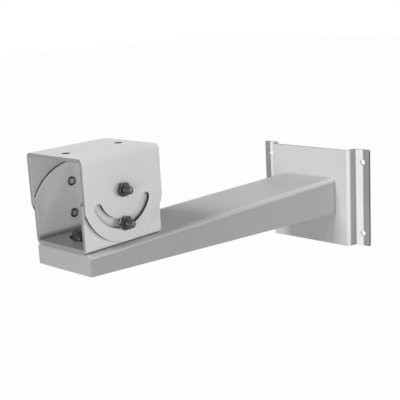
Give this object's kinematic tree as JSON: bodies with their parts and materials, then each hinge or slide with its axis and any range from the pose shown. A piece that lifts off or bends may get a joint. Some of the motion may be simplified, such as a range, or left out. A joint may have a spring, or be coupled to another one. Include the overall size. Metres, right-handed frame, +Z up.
{
  "type": "camera wall bracket",
  "caption": "Sheet-metal wall bracket for a camera: top-hat wall plate, tapered box arm, and a pan and tilt head of two nested yokes locked by studs in curved slots.",
  "frame": {"origin": "centre of the wall plate's back, on the wall", "axes": "+Y into the wall, so the arm reaches towards -Y; +Z up; +X to the right when facing the wall"},
  "size_m": [0.129, 0.3285, 0.14],
  "materials": {
    "plate_paint": "light grey powder coat",
    "arm_paint": "mid grey powder coat",
    "head_paint": "light grey powder coat",
    "dark_steel": "blackened steel fasteners"
  },
  "bodies": {
    "wall_arm": {"wall_plate": "plate_paint", "arm_channel": "arm_paint", "arm_bottom_plate": "arm_paint", "arm_end_plate": "arm_paint", "pan_pivot_bolt": "dark_steel", "pan_pivot_spring_washer": "dark_steel", "pan_pivot_washer": "dark_steel", "pan_pivot_weld_nut": "dark_steel", "pan_lock_bolt": "dark_steel", "pan_lock_spring_washer": "dark_steel", "pan_lock_washer": "dark_steel", "pan_lock_weld_nut": "dark_steel"},
    "pan_head": {"lower_yoke": "head_paint", "right_pivot_stud": "dark_steel", "right_pivot_washer": "dark_steel", "right_pivot_nut": "dark_steel", "right_tilt_lock_stud": "dark_steel", "right_tilt_lock_washer": "dark_steel", "right_tilt_lock_nut": "dark_steel", "left_pivot_stud": "dark_steel", "left_pivot_washer": "dark_steel", "left_pivot_nut": "dark_steel", "left_tilt_lock_stud": "dark_steel", "left_tilt_lock_washer": "dark_steel", "left_tilt_lock_nut": "dark_steel"},
    "tilt_head": {"upper_yoke": "head_paint"}
  },
  "joints": [
    {"name": "pan", "type": "hinge", "parent": "wall_arm", "child": "pan_head", "pos_m": [0, -0.29, 0.0195], "axis": [0, 0, 1], "range_deg": [-35, 35]},
    {"name": "tilt", "type": "hinge", "parent": "pan_head", "child": "tilt_head", "pos_m": [0, -0.2925, 0.063], "axis": [1, 0, 0], "range_deg": [-40, 40]}
  ]
}
